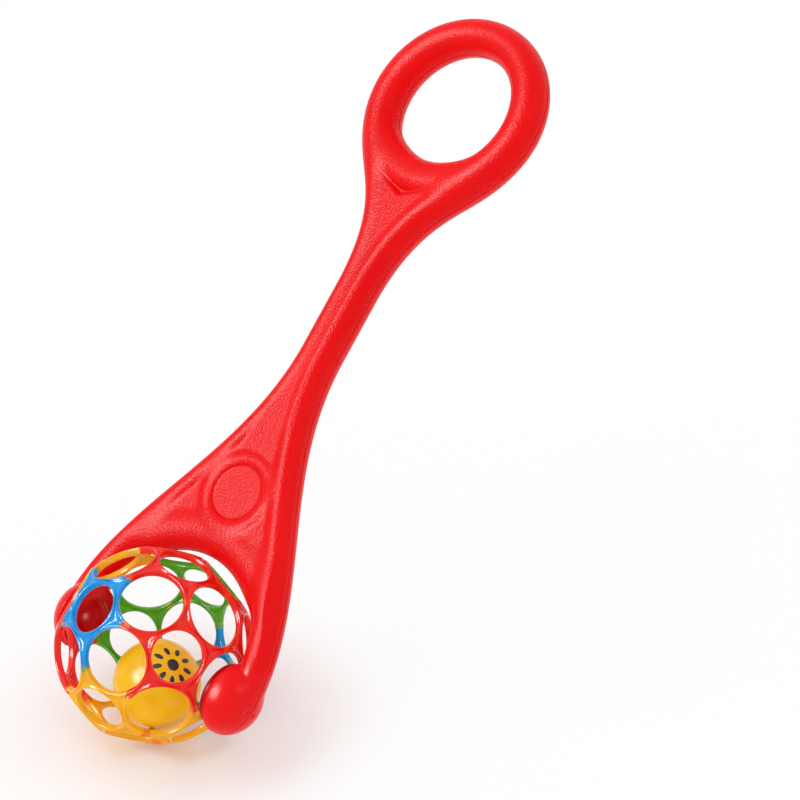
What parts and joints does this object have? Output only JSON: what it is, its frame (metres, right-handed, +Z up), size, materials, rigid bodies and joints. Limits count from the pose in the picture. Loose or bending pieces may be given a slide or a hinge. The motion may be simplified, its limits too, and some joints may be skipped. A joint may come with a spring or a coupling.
{
  "type": "push-along roller toy",
  "caption": "Push-along wand with a ring grip and a forked yoke that carries a spinning openwork ball with a loose rattle ball inside.",
  "frame": {"origin": "The point where the openwork ball meets the floor, straight under the middle of the ball.", "axes": "+X along the axle towards the toy's right arm as seen from its front, +Y along the floor the way the wand leans, +Z up."},
  "size_m": [0.1344, 0.3223, 0.3038],
  "materials": {
    "wand_red": "satin red polyethylene with a fine pebble grain",
    "star_red": "soft gloss red",
    "star_blue": "soft gloss sky blue",
    "star_green": "soft gloss leaf green",
    "star_amber": "soft gloss amber yellow",
    "rattle_yellow": "semi-gloss yellow with a plain black printed rosette"
  },
  "bodies": {
    "handle": {"handle_front_half": "wand_red", "handle_back_half": "wand_red"},
    "ball": {"star_red_1": "star_red", "star_red_2": "star_red", "star_red_3": "star_red", "star_red_4": "star_red", "star_blue_1": "star_blue", "star_blue_2": "star_blue", "star_green_1": "star_green", "star_green_2": "star_green", "star_amber_1": "star_amber", "star_amber_2": "star_amber", "star_amber_3": "star_amber", "star_amber_4": "star_amber"},
    "rattle": {"rattle_upper_half": "rattle_yellow", "rattle_lower_half": "rattle_yellow"}
  },
  "joints": [
    {"name": "ball_spin", "type": "hinge", "parent": "handle", "child": "ball", "pos_m": [0, 0, 0.05], "axis": [1, 0, 0], "continuous": true},
    {"name": "rattle_tumble", "type": "hinge", "parent": "handle", "child": "rattle", "pos_m": [0, 0, 0.05], "axis": [1, 0, 0], "continuous": true}
  ]
}
